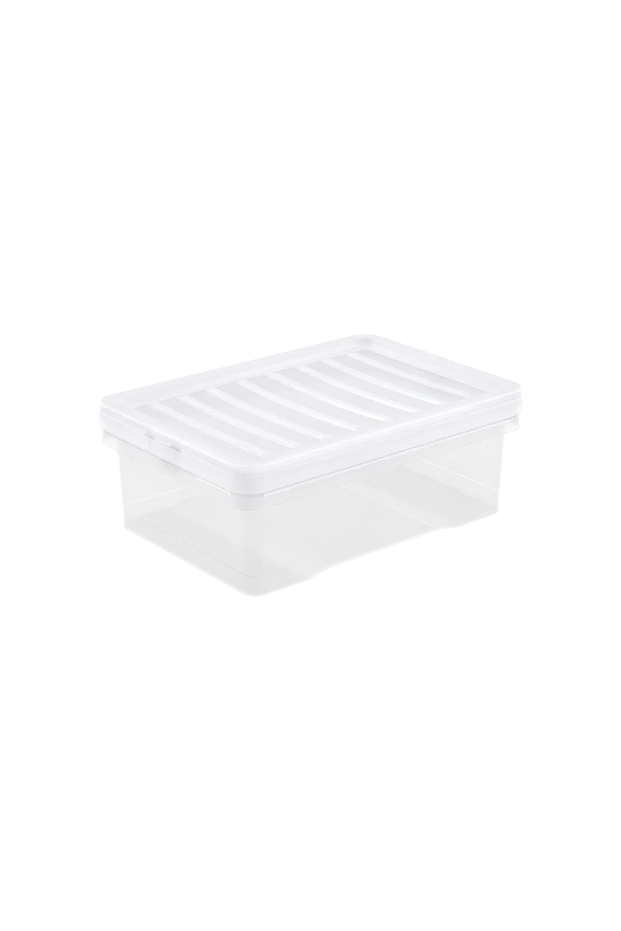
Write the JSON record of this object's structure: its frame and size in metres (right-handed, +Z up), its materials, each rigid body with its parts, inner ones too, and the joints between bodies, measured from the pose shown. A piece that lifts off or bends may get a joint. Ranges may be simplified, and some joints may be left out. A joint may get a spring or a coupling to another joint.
{
  "type": "plastic storage box",
  "caption": "Clear tapered storage tub with a turned-down rim, a wave-shaped base on broad feet, and a ribbed lift-off lid held by a flexing clip at each short end.",
  "frame": {"origin": "centre of the box's footprint, on the plane that its feet stand on", "axes": "+Z up, X along the long sides and Y along the short ends; the end with clip_left is -X"},
  "size_m": [0.404, 0.2794, 0.15],
  "materials": {
    "tub_plastic": "clear, slightly milky moulded polypropylene with a soft gloss",
    "lid_plastic": "clear, slightly milky moulded polypropylene, a little bluer than the tub"
  },
  "bodies": {
    "tub": {"tub": "tub_plastic", "rim": "tub_plastic"},
    "lid": {"lid": "lid_plastic"},
    "clip_left": {"clip_left": "lid_plastic"},
    "clip_right": {"clip_right": "lid_plastic"}
  },
  "joints": [
    {"name": "lid_lift", "type": "slide", "parent": "tub", "child": "lid", "axis": [0, 0, 1], "range_m": [0, 0.2]},
    {"name": "clip_left_flex", "type": "hinge", "parent": "lid", "child": "clip_left", "pos_m": [-0.2014, 0, 0.138], "axis": [0, 1, 0], "range_deg": [0, 12], "stiffness_Nm_per_rad": 0.6},
    {"name": "clip_right_flex", "type": "hinge", "parent": "lid", "child": "clip_right", "pos_m": [0.2014, 0, 0.138], "axis": [0, -1, 0], "range_deg": [0, 12], "stiffness_Nm_per_rad": 0.6}
  ]
}
